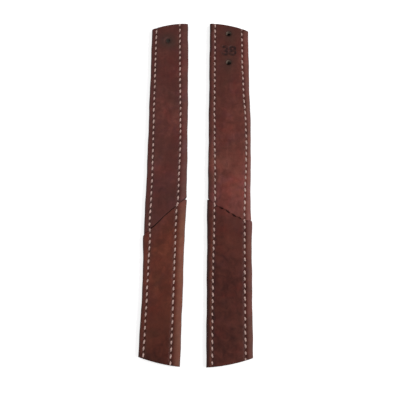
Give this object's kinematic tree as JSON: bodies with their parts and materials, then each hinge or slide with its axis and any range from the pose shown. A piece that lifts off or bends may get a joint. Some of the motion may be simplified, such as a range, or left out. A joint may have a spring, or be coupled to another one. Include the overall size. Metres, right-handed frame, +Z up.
{
  "type": "leather strap pair",
  "caption": "Pair of flat leather straps, face and lining saddle stitched along both edges round a core web, each spliced on a diagonal where it bends, with punched holes near one end.",
  "frame": {"origin": "centre of the pair's box in plan, on the surface that the straps lie on", "axes": "+Y along the straps towards the punched ends, +Z up out of the stitched face, +X from the left strap to the right one"},
  "size_m": [0.073, 0.2374, 0.0051],
  "materials": {
    "face_leather": "dark red-brown bridle leather, waxed, soft sheen",
    "lining_leather": "dark brown leather, matt flesh side",
    "core_web": "dark woven nylon tape",
    "thread": "waxed beige sewing thread"
  },
  "bodies": {
    "left_upper": {"left_face_upper": "face_leather", "left_lining_upper": "lining_leather", "left_core_web": "core_web", "left_inner_upper_strand_1": "thread", "left_inner_upper_strand_2": "thread", "left_outer_upper_strand_1": "thread", "left_outer_upper_strand_2": "thread"},
    "left_lower": {"left_face_lower": "face_leather", "left_lining_lower": "lining_leather", "left_inner_lower_strand_1": "thread", "left_inner_lower_strand_2": "thread", "left_outer_lower_strand_1": "thread", "left_outer_lower_strand_2": "thread"},
    "right_upper": {"right_face_upper": "face_leather", "right_lining_upper": "lining_leather", "right_core_web": "core_web", "right_inner_upper_strand_1": "thread", "right_inner_upper_strand_2": "thread", "right_outer_upper_strand_1": "thread", "right_outer_upper_strand_2": "thread"},
    "right_lower": {"right_face_lower": "face_leather", "right_lining_lower": "lining_leather", "right_inner_lower_strand_1": "thread", "right_inner_lower_strand_2": "thread", "right_outer_lower_strand_1": "thread", "right_outer_lower_strand_2": "thread"}
  },
  "joints": [
    {"name": "left_bend", "type": "hinge", "parent": "left_upper", "child": "left_lower", "pos_m": [-0.02046, -0.0096, 0.0051], "axis": [-1, 0, 0], "range_deg": [0, 60], "stiffness_Nm_per_rad": 0.2, "deforming": ["left_core_web"]},
    {"name": "right_slide", "type": "slide", "parent": "left_upper", "child": "right_upper", "axis": [1, 0, 0], "range_m": [-0.01, 0.08]},
    {"name": "right_bend", "type": "hinge", "parent": "right_upper", "child": "right_lower", "pos_m": [0.02131, -0.01023, 0.0051], "axis": [-1, 0, 0], "range_deg": [0, 60], "stiffness_Nm_per_rad": 0.2, "deforming": ["right_core_web"]}
  ]
}
